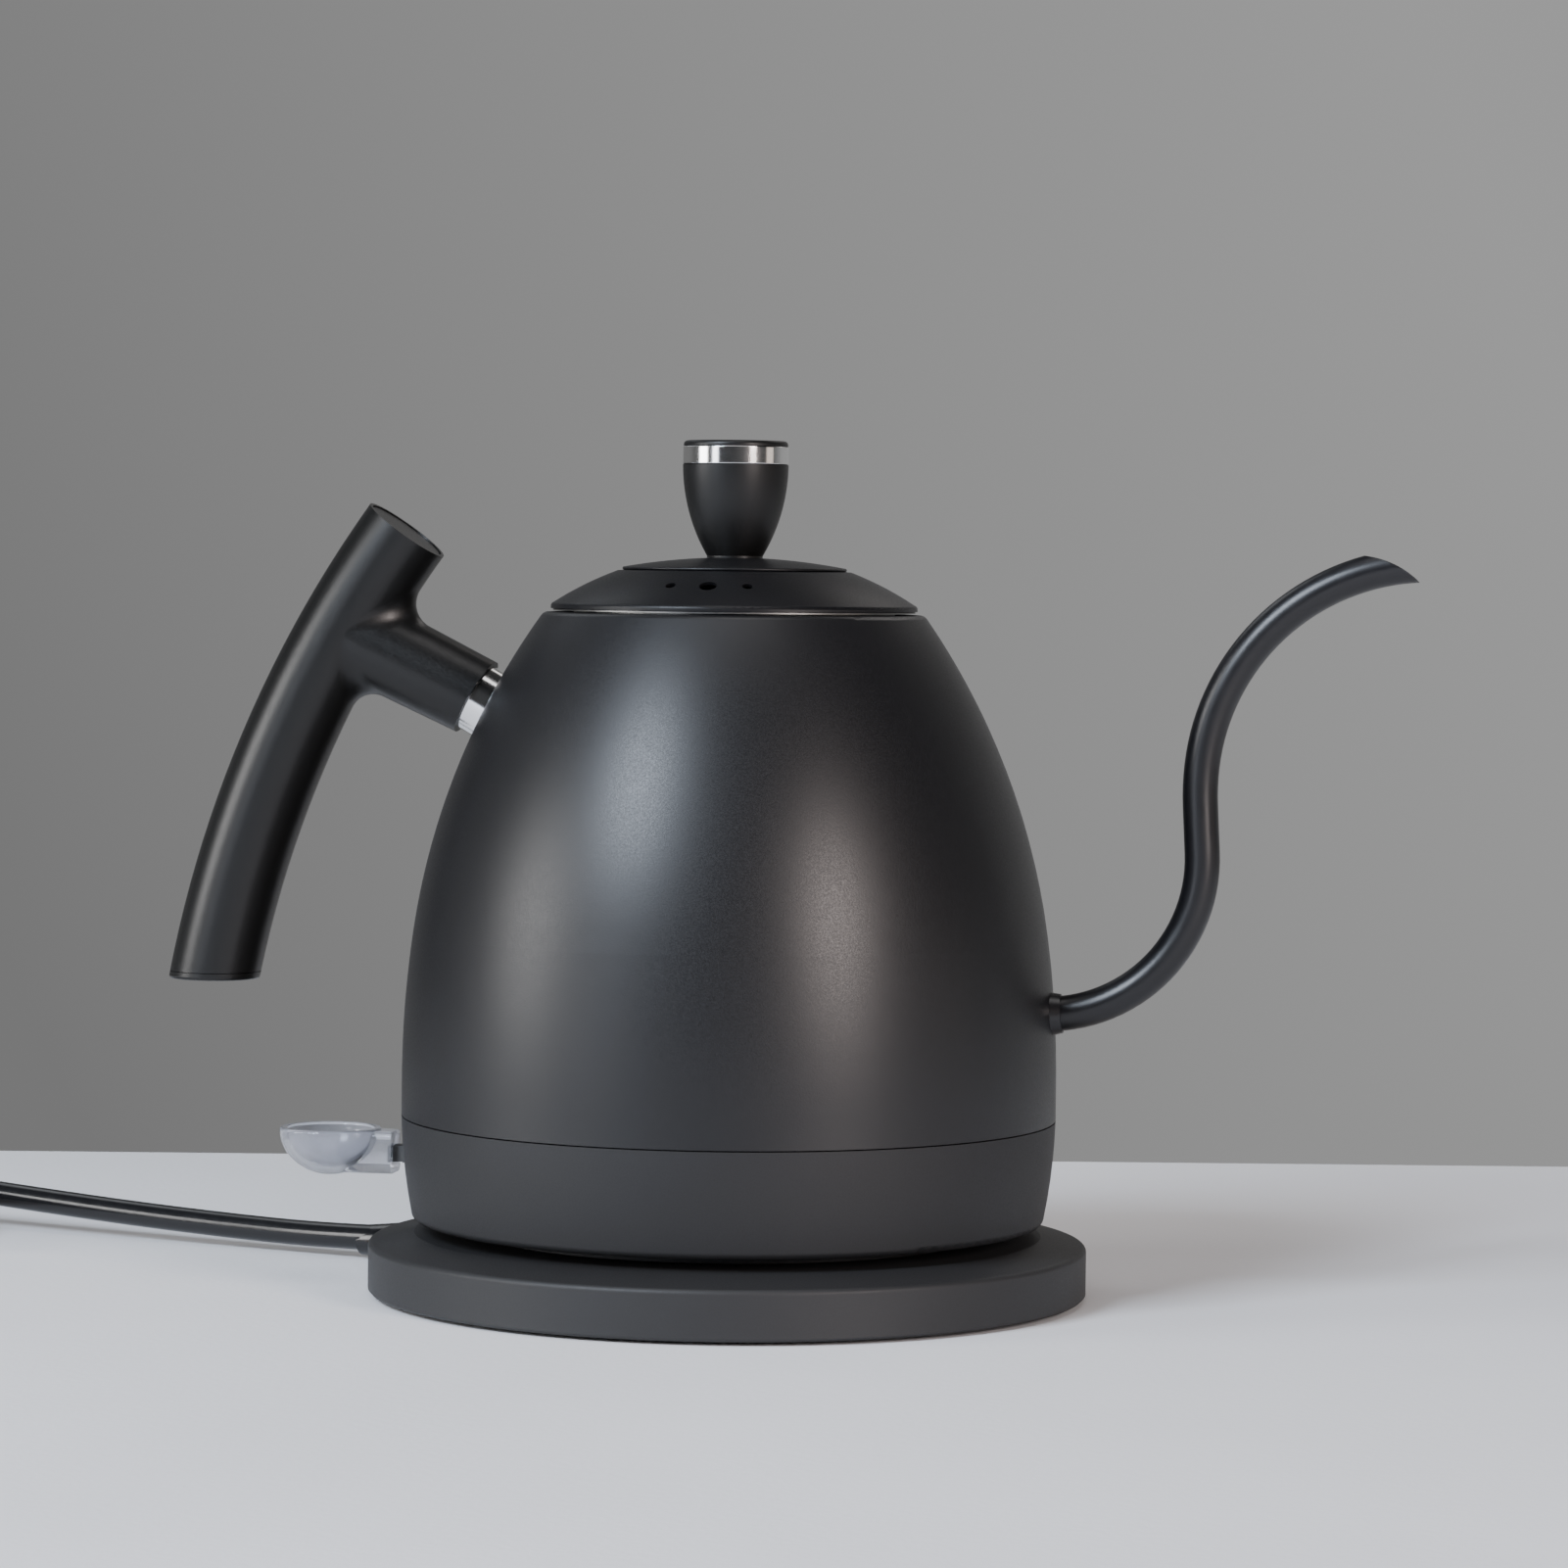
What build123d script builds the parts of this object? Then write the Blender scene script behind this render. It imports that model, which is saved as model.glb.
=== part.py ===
from build123d import *
import os
from math import cos, pi, radians, sin, tan

os.makedirs("parts", exist_ok=True)

# Cordless gooseneck kettle standing on its round power base. Millimetres.
# Origin: the base's vertical axis on the table. +Z up, +X towards the spout, handle on -X.

# ---- driving dimensions ------------------------------------------------------------
base_radius = 82.5
base_side_height = 12.2
base_edge_round = 1.2
base_wall = 2.2
base_crown_radius = 72.0
base_crown_height = 14.4
grip_ring_height = 1.4
plate_top = 3.4

collar_bottom = 17.2
seam_height = 41.0
seam_gap = 0.3
body_radius = 75.1
body_wall = 0.8
spigot_radius = 72.4
spigot_bottom = 33.0
belly_height = 49.4
belly_arc, belly_turn = 245.6, 7.9
shoulder_arc, shoulder_turn = 165.7, 27.2
rim_arc = 2.0
neck_radius = 37.7
neck_depth = 5.0

floor_height = 35.0
diffuser_thickness = 3.4

lid_radius = 42.0
lid_hem_height = 157.3
lid_wall = 0.7
cap_disc_radius = 25.7
plug_radius = 36.8
vent_circle = 34.1
vent_height = 163.0
vent_spacing = 14.8

knob_foot_height = 169.35
knob_ring_height = 190.5
knob_cap_height = 194.7
knob_top = 195.95
knob_radius = 12.1

spout_radius = 4.0
spout_bore = 3.4
spout_root = (75.0, 66.4)
spout_rise = 4.0
spout_elbow, spout_elbow_turn = 35.6, 89.0
spout_straight = 10.6
spout_lean, spout_lean_turn = 59.0, -9.0
spout_crook, spout_crook_turn = 51.2, -88.0
mouth_top, mouth_middle, mouth_tip = (142.0, 171.45), (151.0, 169.0), (157.2, 164.1)

grip_radius = 10.4
grip_bottom = (-122.4, 69.85)
grip_middle = (-104.85, 126.2)
grip_top = (-77.05, 174.8)
arm_start = (-92.6, 151.9)
arm_end = (-60.3, 136.4)
arm_root_radius, arm_radius = 10.1, 9.3
arm_root_slope, arm_slope = 21.0, 29.9
arm_round = 6.0
ferrule_radius = 8.15

pivot_x, pivot_z = -62.0, 26.5
pivot_pin_radius = 1.5
scoop_x, scoop_top = -94.1, 35.8
scoop_bottom = 24.7
stem_end, stem_bottom, stem_top = -78.6, 25.55, 35.25
rocker_end = -79.7

cord_radius = 3.1
cord_bearing = 158.0
coil_centre = (-237.2, 44.0)
coil_outer_turn = 38.5
coil_inner_turn = 30.3
tie_thickness = 0.8
plug_height = 8.6
plug_bearing = 289.0

# the cord from its clamp in the base to the coil, and from the coil to the plug
cord_route = [
    (-55.6, 22.5, 7.3),
    (-95.5, 38.6, 4.3),
    (-147.1, 55.3, 5.5),
    (-197.2, 72.0, 8.3),
    (-214.5, 77.3, 9.8),
]
tail_route = [
    (-273.6, 31.4, 3.9),
    (-269.0, 18.0, 4.4),
    (-264.2, 3.8, 7.4),
    (-260.5, -7.0, plug_height),
]


# ---- helpers: each adds to, or cuts, the part that is open ---------------------------
def ring(inner, outer, low, high, at=(0.0, 0.0), mode=Mode.ADD):
    """An upright ring, or a disc where inner is 0."""
    with BuildSketch(Plane.XY.offset(low)) as outline:
        with Locations(at):
            Circle(outer)
            if inner > 0:
                Circle(inner, mode=Mode.SUBTRACT)
    extrude(outline.sketch, amount=high - low, mode=mode)


def box(low, high, mode=Mode.ADD):
    """An upright block between two corners."""
    with BuildSketch(Plane.XY.offset(low[2])) as outline:
        with Locations(((low[0] + high[0]) / 2, (low[1] + high[1]) / 2)):
            Rectangle(high[0] - low[0], high[1] - low[1])
    extrude(outline.sketch, amount=high[2] - low[2], mode=mode)


def polar(distance, bearing, height=0.0):
    """A point at a distance from the kettle's axis, on a bearing from +X."""
    return Vector(distance * cos(radians(bearing)), distance * sin(radians(bearing)), height)


def vessel_outline(inset, low=seam_height + seam_gap):
    """Half of the vessel's side view, closed to its axis, drawn inset from its outer face."""
    with BuildSketch(Plane.XZ) as outline:
        with BuildLine():
            skirt = Line((body_radius - inset, low), (body_radius - inset, belly_height))
            belly = JernArc(skirt @ 1, (0, 1), belly_arc - inset, belly_turn)
            shoulder = JernArc(belly @ 1, belly % 1, shoulder_arc - inset, shoulder_turn)
            rim = JernArc(shoulder @ 1, shoulder % 1, rim_arc - inset, 90 - belly_turn - shoulder_turn)
            top = Line(rim @ 1, (0, (rim @ 1).Y))
            axis = Line(top @ 1, (0, low))
            Line(axis @ 1, skirt @ 0)
        make_face()
    return outline.sketch


def cord_tube(route):
    """Straight runs joined by arcs as large as the runs allow. Returns the arcs' radii."""
    corners = [Vector(*p) for p in route]
    radii = []
    for before, corner, after in zip(corners, corners[1:], corners[2:]):
        turn = (corner - before).get_angle(after - corner)
        shorter = min((corner - before).length, (after - corner).length)
        radii.append(0.45 * shorter / tan(radians(turn / 2)))
    with BuildLine() as path:
        FilletPolyline(*corners, radius=radii)
    with BuildSketch(Plane(origin=path.line @ 0, z_dir=path.line % 0)) as section:
        Circle(cord_radius)
    sweep(section.sketch, path=path.line)
    return radii, path.wire().length


rim_height = vessel_outline(0.0).bounding_box().max.Z
arm_direction = Vector(cos(radians(arm_slope)), 0, -sin(radians(arm_slope)))
arm_end_point = Vector(arm_end[0], 0, arm_end[1])

# ==== power base =====================================================================
screw_bearings = [cord_bearing + 60 + 120 * i for i in range(3)]
base_screw_circle = 56.0
exit_plane = Plane(
    origin=polar(base_radius, cord_bearing, 5.75),
    x_dir=polar(1, cord_bearing + 90),
    z_dir=polar(1, cord_bearing, -0.07),
)
base_ceiling = base_crown_height - base_wall

with BuildPart() as base_top_shell:
    with BuildSketch(Plane.XZ):
        with BuildLine():
            foot = Line((base_radius - 0.6, 0.8), (base_radius, 1.4))
            side = Line(foot @ 1, (base_radius, base_side_height - base_edge_round))
            edge = JernArc(side @ 1, (0, 1), base_edge_round, 78)
            slope = Line(edge @ 1, (base_crown_radius, base_crown_height - 0.15))
            crown = Line(slope @ 1, (base_crown_radius - 5, base_crown_height))
            top = Line(crown @ 1, (17.3, base_crown_height))
            bore = Line(top @ 1, (17.3, base_ceiling))
            under = Line(bore @ 1, (base_crown_radius - 5, base_ceiling))
            fall = Line(under @ 1, (base_radius - base_wall, base_side_height - base_wall))
            inside = Line(fall @ 1, (base_radius - base_wall, 0.8))
            Line(inside @ 1, foot @ 0)
        make_face()
    revolve(axis=Axis.Z)
    for bearing in screw_bearings:
        post = polar(base_screw_circle, bearing)
        ring(1.45, 4.0, plate_top + 0.1, base_ceiling, at=(post.X, post.Y))
    with BuildSketch(exit_plane):
        Circle(3.75)
    extrude(amount=6, both=True, mode=Mode.SUBTRACT)
base_top_shell.part.label = "base_top_shell"
export_step(base_top_shell.part, "parts/base_top_shell.step")

with BuildPart() as base_bottom_plate:
    ring(0, 79.8, grip_ring_height, plate_top)
    for bearing in screw_bearings:
        hole = polar(base_screw_circle, bearing)
        ring(0, 1.7, grip_ring_height, plate_top, at=(hole.X, hole.Y), mode=Mode.SUBTRACT)
        ring(0, 3.4, grip_ring_height, grip_ring_height + 1.1, at=(hole.X, hole.Y), mode=Mode.SUBTRACT)
    groove_plane = Plane(origin=polar(0, 0, 2.15), x_dir=polar(1, cord_bearing), z_dir=(0, 0, 1))
    with BuildSketch(groove_plane):
        with Locations((70, 0)):
            Rectangle(24, 7.8)
    extrude(amount=2, mode=Mode.SUBTRACT)
base_bottom_plate.part.label = "base_bottom_plate"
export_step(base_bottom_plate.part, "parts/base_bottom_plate.step")

with BuildPart() as anti_slip_ring:
    ring(66, 74, 0, grip_ring_height)
anti_slip_ring.part.label = "anti_slip_ring"
export_step(anti_slip_ring.part, "parts/anti_slip_ring.step")

with BuildPart() as base_screws:
    for bearing in screw_bearings:
        spot = polar(base_screw_circle, bearing)
        ring(0, 3.1, grip_ring_height + 0.1, grip_ring_height + 1.1, at=(spot.X, spot.Y))
        ring(0, 1.4, grip_ring_height + 1.1, base_ceiling - 0.6, at=(spot.X, spot.Y))
base_screws.part.label = "base_screws"
export_step(base_screws.part, "parts/base_screws.step")

# centre connector: a boss with an earth pin, two ring contacts and a well for the shutter
well_inner, well_outer = 11.0, 16.0
boss_top = 25.0
with BuildPart() as base_connector:
    ring(0, 23, plate_top + 0.1, 5.8)
    ring(0, 17.0, 5.8, 15.4)
    ring(well_inner, well_outer, 7.8, 15.4, mode=Mode.SUBTRACT)
    ring(0, well_inner, 15.4, boss_top)
    ring(6.6, 9.0, 9.0, boss_top, mode=Mode.SUBTRACT)
    ring(0, 3.4, 8.0, boss_top, mode=Mode.SUBTRACT)
    boss_rims = base_connector.edges().filter_by(GeomType.CIRCLE).group_by(Axis.Z)[-1]
    chamfer(boss_rims.sort_by(SortBy.RADIUS)[-1], 0.8)
base_connector.part.label = "base_connector"
export_step(base_connector.part, "parts/base_connector.step")

with BuildPart() as base_ring_contacts:
    ring(6.6, 7.0, 9.0, 21.0)
    ring(8.6, 9.0, 9.0, 18.0)
base_ring_contacts.part.label = "base_ring_contacts"
export_step(base_ring_contacts.part, "parts/base_ring_contacts.step")

with BuildPart() as base_earth_pin:
    ring(0, 2.0, 8.0, 23.0)
    fillet(base_earth_pin.edges().group_by(Axis.Z)[-1], 1.2)
base_earth_pin.part.label = "base_earth_pin"
export_step(base_earth_pin.part, "parts/base_earth_pin.step")

with BuildPart() as shutter_spring:
    with BuildLine() as turns:
        Helix(pitch=1.3, height=3.25, radius=13.5, center=(0, 0, 8.6))
    with BuildSketch(Plane(origin=turns.line @ 0, z_dir=turns.line % 0)):
        Circle(0.5)
    sweep(path=turns.line, is_frenet=True)
shutter_spring.part.label = "shutter_spring"
export_step(shutter_spring.part, "parts/shutter_spring.step")

with BuildPart() as connector_shutter:
    ring(well_inner + 0.3, well_outer - 0.3, 12.6, 17.0)
    ring(well_inner + 1.5, well_outer - 1.5, 12.6, 15.6, mode=Mode.SUBTRACT)
    fillet(connector_shutter.edges().group_by(Axis.Z)[-1], 0.5)
connector_shutter.part.label = "connector_shutter"
export_step(connector_shutter.part, "parts/connector_shutter.step")

# ==== mains lead ======================================================================
with BuildPart() as power_cord:
    cord_radii, cord_length = cord_tube(cord_route)
power_cord.part.label = "power_cord"
export_step(power_cord.part, "parts/power_cord.step")

with BuildPart() as cord_tail:
    tail_radii, tail_length = cord_tube(tail_route)
cord_tail.part.label = "cord_tail"
export_step(cord_tail.part, "parts/cord_tail.step")

for name, piece, radii, length in (
    ("power_cord", power_cord, cord_radii, cord_length),
    ("cord_tail", cord_tail, tail_radii, tail_length),
):
    expected = pi * cord_radius**2 * length
    ratio = piece.part.volume / expected
    print(name, "radii", [round(r, 1) for r in radii], "volume ratio", round(ratio, 4))

with BuildPart() as cord_coil:
    with BuildSketch(Plane.XZ.offset(-coil_centre[1])):
        with Locations((coil_centre[0] + (coil_outer_turn + coil_inner_turn) / 2, tie_thickness + 6.25)):
            RectangleRounded(coil_outer_turn - coil_inner_turn + 2 * cord_radius, 12.5, 2.9)
    revolve(axis=Axis((coil_centre[0], coil_centre[1], 0), (0, 0, 1)))
cord_coil.part.label = "cord_coil"
export_step(cord_coil.part, "parts/cord_coil.step")

tie_bearing = -35.0
with BuildPart() as cord_tie:
    tie_plane = Plane(
        origin=(coil_centre[0], coil_centre[1], 0),
        x_dir=polar(1, tie_bearing),
        z_dir=polar(1, tie_bearing - 90),
    )
    tie_middle = ((coil_outer_turn + coil_inner_turn) / 2, tie_thickness + 6.25)
    with BuildSketch(tie_plane):
        with Locations(tie_middle):
            RectangleRounded(16.9, 14.1, 3.6)
            RectangleRounded(15.3, 12.5, 2.9, mode=Mode.SUBTRACT)
    extrude(amount=3.5, both=True)
cord_tie.part.label = "cord_tie"
export_step(cord_tie.part, "parts/cord_tie.step")

# flexible sleeve where the lead leaves the base, with a flat inner flange
with BuildPart() as cord_gland:
    with BuildSketch(exit_plane.offset(0.6)):
        Circle(3.7)
    extrude(amount=-3.6)
    with BuildSketch(exit_plane.offset(0.5)):
        Circle(4.7)
    with BuildSketch(exit_plane.offset(20.5)):
        Circle(3.65)
    loft()
    with BuildSketch(exit_plane.offset(-4.4)):
        Rectangle(12.0, 4.6)
    extrude(amount=1.6)
    with BuildSketch(exit_plane):
        Circle(cord_radius)
    extrude(amount=24, both=True, mode=Mode.SUBTRACT)
cord_gland.part.label = "cord_gland"
export_step(cord_gland.part, "parts/cord_gland.step")

clamp_plane = Plane(origin=polar(0, 0, plate_top + 0.05), x_dir=polar(1, cord_bearing), z_dir=(0, 0, 1))
clamp_reach = 68.0
with BuildPart() as cord_clamp:
    with BuildSketch(clamp_plane):
        with Locations((clamp_reach, 0)):
            RectangleRounded(7, 24, 2)
    extrude(amount=7.8)
    with BuildSketch(clamp_plane):
        with Locations((clamp_reach, 8.5), (clamp_reach, -8.5)):
            Circle(1.45)
    extrude(amount=8, mode=Mode.SUBTRACT)
    with BuildSketch(exit_plane.offset(-24)):
        Circle(cord_radius + 0.05)
        with Locations((0, -2.0)):
            Rectangle(2 * cord_radius + 0.1, 4.0)
    extrude(amount=20, mode=Mode.SUBTRACT)
cord_clamp.part.label = "cord_clamp"
export_step(cord_clamp.part, "parts/cord_clamp.step")

with BuildPart() as clamp_screws:
    with BuildSketch(clamp_plane):
        with Locations((clamp_reach, 8.5), (clamp_reach, -8.5)):
            Circle(1.4)
    extrude(amount=7.8)
clamp_screws.part.label = "clamp_screws"
export_step(clamp_screws.part, "parts/clamp_screws.step")

wire_radius = 0.9
for name, side in (("live_wire", 2.1), ("neutral_wire", -2.1), ("earth_wire", 0.0)):
    with BuildPart() as wire:
        across = Vector(-sin(radians(cord_bearing)), cos(radians(cord_bearing)), 0)
        with BuildLine() as lead:
            FilletPolyline(
                polar(59.3, cord_bearing, 7.3) + across * side * 0.95,
                polar(50, cord_bearing, 7.3) + across * side,
                polar(34, cord_bearing, 7.6) + across * side * 2.2,
                polar(24.3, cord_bearing, 7.6) + across * side * 2.0,
                radius=6,
            )
        with BuildSketch(Plane(origin=lead.line @ 0, z_dir=lead.line % 0)):
            Circle(wire_radius)
        sweep(path=lead.line)
    wire.part.label = name
    export_step(wire.part, f"parts/{name}.step")

# generic moulded plug with three flat pins
plug_start = Vector(*tail_route[-1])
plug_axis = polar(1, plug_bearing)
plug_plane = Plane(origin=plug_start, x_dir=(0, 0, 1), z_dir=plug_axis)
relief_length, plug_length = 14.0, 27.0
with BuildPart() as plug_body:
    with BuildSketch(plug_plane):
        Circle(cord_radius + 0.7)
    with BuildSketch(plug_plane.offset(relief_length)):
        Circle(cord_radius + 2.2)
    loft()
    with BuildSketch(plug_plane.offset(relief_length)):
        RectangleRounded(11, 14, 4)
    with BuildSketch(plug_plane.offset(relief_length + 11)):
        RectangleRounded(16.4, 25, 5)
    loft()
    with BuildSketch(plug_plane.offset(relief_length + 11)):
        RectangleRounded(16.4, 25, 5)
    extrude(amount=plug_length - 11)
    fillet(plug_body.faces().sort_by(Axis(plug_start, plug_axis))[-1].edges(), 1.2)
plug_body.part.label = "plug_body"
export_step(plug_body.part, "parts/plug_body.step")

with BuildPart() as plug_pins:
    with BuildSketch(plug_plane.offset(relief_length + plug_length)):
        with Locations(Location((3.4, 5.0), 60), Location((3.4, -5.0), -60), Location((-5.0, 0), 0)):
            Rectangle(6.3, 1.6)
    extrude(amount=17)
plug_pins.part.label = "plug_pins"
export_step(plug_pins.part, "parts/plug_pins.step")

# ==== kettle: vessel and what is fixed in it ===========================================
arm_axis_plane = Plane(origin=arm_end_point, z_dir=arm_direction)
spout_direction = Vector(cos(radians(spout_rise)), 0, sin(radians(spout_rise)))
spout_plane = Plane(origin=(spout_root[0], 0, spout_root[1]), z_dir=spout_direction)
handle_screw_radius = 2.4

with BuildPart() as kettle_body:
    revolve(vessel_outline(0.0), axis=Axis.Z)
    revolve(vessel_outline(body_wall, low=seam_height - 1), axis=Axis.Z, mode=Mode.SUBTRACT)
    joggle = seam_height + seam_gap
    ring(spigot_radius - body_wall, body_radius - 0.4, joggle, joggle + body_wall)
    ring(spigot_radius - body_wall, spigot_radius, spigot_bottom, joggle)
    ring(0, neck_radius + body_wall, rim_height - 1.5, rim_height + 1, mode=Mode.SUBTRACT)
    with BuildSketch(Plane.XZ):
        with BuildLine():
            neck_outer = neck_radius + body_wall
            outer = Line((neck_outer, rim_height - neck_depth), (neck_outer, rim_height))
            lip = Line(outer @ 1, (neck_radius + 0.6, rim_height))
            curl = JernArc(lip @ 1, (-1, 0), 0.6, 90)
            inner = Line(curl @ 1, (neck_radius, rim_height - neck_depth))
            Line(inner @ 1, outer @ 0)
        make_face()
    revolve(axis=Axis.Z)
    with BuildSketch(spout_plane):
        Circle(spout_radius + 0.05)
    extrude(amount=8, both=True, mode=Mode.SUBTRACT)
    with BuildSketch(arm_axis_plane):
        Circle(handle_screw_radius + 0.1)
    extrude(amount=14, mode=Mode.SUBTRACT)
kettle_body.part.label = "kettle_body"
export_step(kettle_body.part, "parts/kettle_body.step")

steam_tube_at = (-48.0, 0.0)
floor_radius = spigot_radius - body_wall
with BuildPart() as vessel_floor:
    ring(0, floor_radius, floor_height, floor_height + body_wall)
    ring(floor_radius - 1.0, floor_radius, floor_height + body_wall, floor_height + 4.0)
    ring(0, 5.05, floor_height, floor_height + 1, at=steam_tube_at, mode=Mode.SUBTRACT)
vessel_floor.part.label = "vessel_floor"
export_step(vessel_floor.part, "parts/vessel_floor.step")

with BuildPart() as heat_diffuser:
    ring(0, 58, floor_height - diffuser_thickness, floor_height)
    ring(0, 6.5, floor_height - 4, floor_height + 1, at=steam_tube_at, mode=Mode.SUBTRACT)
    lower_rims = heat_diffuser.edges().filter_by(GeomType.CIRCLE).group_by(Axis.Z)[0]
    chamfer(lower_rims.sort_by(SortBy.RADIUS)[-1], 1.0)
heat_diffuser.part.label = "heat_diffuser"
export_step(heat_diffuser.part, "parts/heat_diffuser.step")

element_radius, element_height, sheath_radius = 46.0, 28.25, 3.3
with BuildPart() as heating_element:
    with BuildLine(Plane.XY.offset(element_height)) as loop:
        CenterArc((0, 0), element_radius, -150, 300)
    with BuildSketch(Plane(origin=loop.line @ 0, z_dir=loop.line % 0)):
        Circle(sheath_radius)
    sweep(path=loop.line)
    for end, outward in ((0, -1), (1, 1)):
        with BuildSketch(Plane(origin=loop.line @ end, z_dir=(loop.line % end) * outward)):
            Circle(1.5)
        extrude(amount=5)
heating_element.part.label = "heating_element"
export_step(heating_element.part, "parts/heating_element.step")

standoff_circle = 64.0
with BuildPart() as floor_standoffs:
    for bearing in (0, 120, 240):
        stud = polar(standoff_circle, bearing)
        ring(0, 3.2, 19.6, floor_height, at=(stud.X, stud.Y))
        ring(0, 1.5, 19.6, 29.0, at=(stud.X, stud.Y), mode=Mode.SUBTRACT)
floor_standoffs.part.label = "floor_standoffs"
export_step(floor_standoffs.part, "parts/floor_standoffs.step")

with BuildPart() as steam_tube:
    ring(4.2, 5.0, 30.8, 120.0, at=steam_tube_at)
steam_tube.part.label = "steam_tube"
export_step(steam_tube.part, "parts/steam_tube.step")

with BuildPart() as steam_tube_seal:
    ring(5.05, 7.6, floor_height + body_wall, floor_height + 3.4, at=steam_tube_at)
    fillet(steam_tube_seal.edges().group_by(Axis.Z)[-1].sort_by(SortBy.RADIUS)[-1], 1.0)
steam_tube_seal.part.label = "steam_tube_seal"
export_step(steam_tube_seal.part, "parts/steam_tube_seal.step")

slot_half_width = 5.5
with BuildPart() as lower_collar:
    with BuildSketch(Plane.XZ):
        with BuildLine():
            heel = JernArc((70.9, collar_bottom), (1, 0), 1.8, 84)
            flank = ThreePointArc(heel @ 1, (74.15, 28.0), (body_radius, seam_height))
            top = Line(flank @ 1, (spigot_radius + 0.1, seam_height))
            socket = Line(top @ 1, (spigot_radius + 0.1, 32.0))
            inside = Line(socket @ 1, (70.8, 20.5))
            flare = Line(inside @ 1, (69.3, collar_bottom))
            Line(flare @ 1, heel @ 0)
        make_face()
    revolve(axis=Axis.Z)
    box((-80, -slot_half_width, 21.5), (-66, slot_half_width, 33.8), mode=Mode.SUBTRACT)
lower_collar.part.label = "lower_collar"
export_step(lower_collar.part, "parts/lower_collar.step")

with BuildPart() as bottom_cover:
    ring(16.8, 68.9, 17.5, 19.5)
    ring(54, 59, base_crown_height + 0.3, 17.5)
    for bearing in (0, 120, 240):
        hole = polar(standoff_circle, bearing)
        ring(0, 1.6, 17.5, 19.5, at=(hole.X, hole.Y), mode=Mode.SUBTRACT)
        ring(0, 3.3, 17.5, 18.7, at=(hole.X, hole.Y), mode=Mode.SUBTRACT)
bottom_cover.part.label = "bottom_cover"
export_step(bottom_cover.part, "parts/bottom_cover.step")

with BuildPart() as cover_screws:
    for bearing in (0, 120, 240):
        spot = polar(standoff_circle, bearing)
        ring(0, 3.0, 17.6, 18.65, at=(spot.X, spot.Y))
        ring(0, 1.4, 18.65, 27.5, at=(spot.X, spot.Y))
cover_screws.part.label = "cover_screws"
export_step(cover_screws.part, "parts/cover_screws.step")

# ---- control unit with its socket, contacts, sensors and lamp -------------------------
socket_cavity = well_inner + 0.4
socket_roof = boss_top + 0.6
socket_top = 30.6
with BuildPart() as kettle_socket:
    ring(socket_cavity, 15.3, 17.3, 19.7)
    ring(socket_cavity, 19.5, 19.7, socket_roof)
    ring(0, 19.5, socket_roof, socket_top)
    ring(0, 3.15, socket_roof, socket_top, mode=Mode.SUBTRACT)
    for side in (-1, 1):
        middle = side * 7.65
        box((middle - 0.4, -1.6, socket_roof), (middle + 0.4, 1.6, socket_top), mode=Mode.SUBTRACT)
kettle_socket.part.label = "kettle_socket"
export_step(kettle_socket.part, "parts/kettle_socket.step")

with BuildPart() as socket_contacts:
    ring(2.4, 3.1, 13.0, socket_top)
    for side in (-1, 1):
        middle = side * 7.65
        box((middle - 0.35, -1.5, 12.0), (middle + 0.35, 1.5, socket_top))
socket_contacts.part.label = "socket_contacts"
export_step(socket_contacts.part, "parts/socket_contacts.step")

with BuildPart() as dry_boil_bimetal:
    with BuildSketch(Plane.XZ):
        with BuildLine():
            under = ThreePointArc((-9, 30.9), (0, 31.15), (9, 30.9))
            rise = Line(under @ 1, (9, 31.2))
            over = ThreePointArc(rise @ 1, (0, 31.45), (-9, 31.2))
            Line(over @ 1, under @ 0)
        make_face()
        split(bisect_by=Plane.YZ, keep=Keep.TOP)
    revolve(axis=Axis.Z)
dry_boil_bimetal.part.label = "dry_boil_bimetal"
export_step(dry_boil_bimetal.part, "parts/dry_boil_bimetal.step")

with BuildPart() as control_unit:
    box((-66.5, -15.5, 20.2), (-20.5, 15.5, 30.2))
    box((-67, -5.0, 20), (-50, 5.0, 31), mode=Mode.SUBTRACT)
    ring(0, 6.6, 28.9, 31, at=steam_tube_at, mode=Mode.SUBTRACT)
    with BuildSketch(Plane.XZ.offset(-16)):
        with Locations((pivot_x, pivot_z)):
            Circle(pivot_pin_radius)
    extrude(amount=32, mode=Mode.SUBTRACT)
    fillet(control_unit.edges().filter_by(Axis.Z).group_by(Axis.X)[-1], 3)
control_unit.part.label = "control_unit"
export_step(control_unit.part, "parts/control_unit.step")

with BuildPart() as steam_bimetal:
    ring(0, 6.2, 29.0, 29.4, at=(steam_tube_at[0], steam_tube_at[1]))
steam_bimetal.part.label = "steam_bimetal"
export_step(steam_bimetal.part, "parts/steam_bimetal.step")

with BuildPart() as switch_pin:
    with BuildSketch(Plane.XZ.offset(-15)):
        with Locations((pivot_x, pivot_z)):
            Circle(pivot_pin_radius)
    extrude(amount=30)
switch_pin.part.label = "switch_pin"
export_step(switch_pin.part, "parts/switch_pin.step")

with BuildPart() as indicator_lamp:
    with BuildSketch(Plane(origin=(-66.5, 10.0, 26.0), z_dir=(-1, 0, 0))):
        Circle(2.0)
    extrude(amount=3.6)
    fillet(indicator_lamp.faces().sort_by(Axis.X)[0].edges(), 1.2)
indicator_lamp.part.label = "indicator_lamp"
export_step(indicator_lamp.part, "parts/indicator_lamp.step")

# ==== on/off lever: a clear thumb scoop on a rocker ====================================
scoop_wall = 1.7
rocker_low, rocker_high = 28.3, 32.0


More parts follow.
